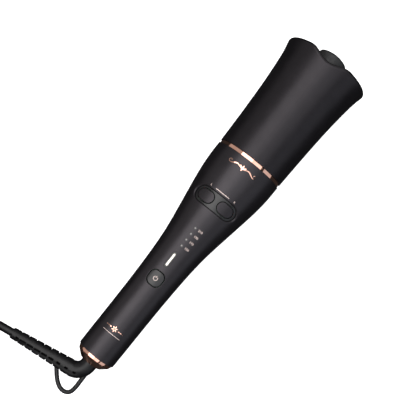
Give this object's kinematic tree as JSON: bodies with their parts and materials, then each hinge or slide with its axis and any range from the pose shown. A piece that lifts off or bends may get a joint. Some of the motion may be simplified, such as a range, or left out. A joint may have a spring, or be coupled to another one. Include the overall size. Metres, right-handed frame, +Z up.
{
  "type": "automatic hair curler",
  "caption": "Automatic hair curler: a bell-shaped shroud around a motor-driven heated barrel, with direction buttons on the handle and a swivelling mains cord.",
  "frame": {"origin": "on the table, under the middle of the curler's own box, without the cord", "axes": "+X along the table from the cord end to the bell's tip, +Y to the left-hand button's side, +Z up, with the buttons on top"},
  "size_m": [0.4624, 0.1945, 0.0771],
  "materials": {
    "soft_touch_black": "soft-touch coating",
    "satin_black": "satin moulded",
    "rose_gold": "metallised and polished",
    "heat_resin": "glass-filled heat-resistant resin",
    "ceramic_barrel": "ceramic-coated",
    "frosted_lens": "frosted",
    "circuit_board": "solder mask",
    "component_black": "moulded",
    "component_yellow": "moulded",
    "steel": "turned and zinc plated",
    "aluminium": "extruded",
    "ceramic_heater": "ceramic",
    "brass": "turned",
    "carbon": "sintered carbon",
    "wire": "silicone insulation",
    "cord_rubber": "moulded flexible plastic"
  },
  "bodies": {
    "housing": {"front_shell": "soft_touch_black", "rear_shell": "soft_touch_black", "case_screws": "steel", "trim_ring": "rose_gold", "shroud": "soft_touch_black", "chamber_liner": "heat_resin", "button_bezel": "satin_black", "power_light_frame": "satin_black", "power_light_lens": "frosted_lens", "heat_light_sleeves": "satin_black", "heat_light_lenses": "frosted_lens", "control_board": "circuit_board", "key_board": "circuit_board", "tact_switches": "component_black", "indicator_leds": "component_yellow", "control_chips": "component_black", "power_board": "circuit_board", "filter_capacitor": "component_yellow", "power_transformer": "component_black", "bearing_frame": "heat_resin", "rear_bush": "brass", "front_bush": "brass", "motor": "steel", "gearbox": "steel", "motor_screws": "steel", "brush_holder": "heat_resin", "carbon_brushes": "carbon", "mains_leads": "wire", "drive_leads": "wire", "end_collar": "rose_gold", "swivel_socket": "heat_resin", "swivel_contacts": "brass"},
    "barrel": {"barrel_hub": "steel", "retaining_clip": "steel", "drive_gear": "heat_resin", "slip_ring_sleeve": "heat_resin", "slip_rings": "brass", "barrel_tube": "ceramic_barrel", "barrel_cap": "heat_resin", "heater_clamps": "aluminium", "heater_film": "component_yellow", "heating_strip": "ceramic_heater", "thermal_fuse": "ceramic_heater", "temperature_sensor": "ceramic_heater", "heater_leads": "wire"},
    "motor_rotor": {"motor_pinion": "heat_resin", "motor_shaft": "steel"},
    "left_button": {"left_button": "soft_touch_black"},
    "right_button": {"right_button": "soft_touch_black"},
    "power_button": {"power_button": "satin_black"},
    "cord_swivel": {"swivel_spindle": "heat_resin", "swivel_rings": "brass", "strain_relief": "cord_rubber", "hang_loop": "cord_rubber", "cord_tube": "cord_rubber", "cord_coil": "cord_rubber", "coil_tie": "cord_rubber", "cord_tail": "cord_rubber", "plug_body": "cord_rubber", "plug_blades": "brass"}
  },
  "joints": [
    {"name": "barrel_spin", "type": "hinge", "parent": "housing", "child": "barrel", "pos_m": [0.05622, 0, 0.03266], "axis": [0.9974, 0, 0.0726], "continuous": true},
    {"name": "motor_spin", "type": "hinge", "parent": "housing", "child": "motor_rotor", "pos_m": [0.02973, 0, 0.01769], "axis": [0.9974, 0, 0.0726], "continuous": true},
    {"name": "left_button_press", "type": "slide", "parent": "housing", "child": "left_button", "axis": [0.0726, 0, -0.9974], "range_m": [0, 0.0006], "stiffness_N_per_m": 600},
    {"name": "right_button_press", "type": "slide", "parent": "housing", "child": "right_button", "axis": [0.0726, 0, -0.9974], "range_m": [0, 0.0006], "stiffness_N_per_m": 600},
    {"name": "power_button_press", "type": "slide", "parent": "housing", "child": "power_button", "axis": [0.0726, 0, -0.9974], "range_m": [0, 0.0006], "stiffness_N_per_m": 600},
    {"name": "cord_swivel_turn", "type": "hinge", "parent": "housing", "child": "cord_swivel", "pos_m": [-0.15522, 0, 0.01725], "axis": [0.9974, 0, 0.0726], "continuous": true}
  ],
  "couplings": [
    {"joint": "motor_spin", "follows": "barrel_spin", "ratio": -1.8571}
  ]
}
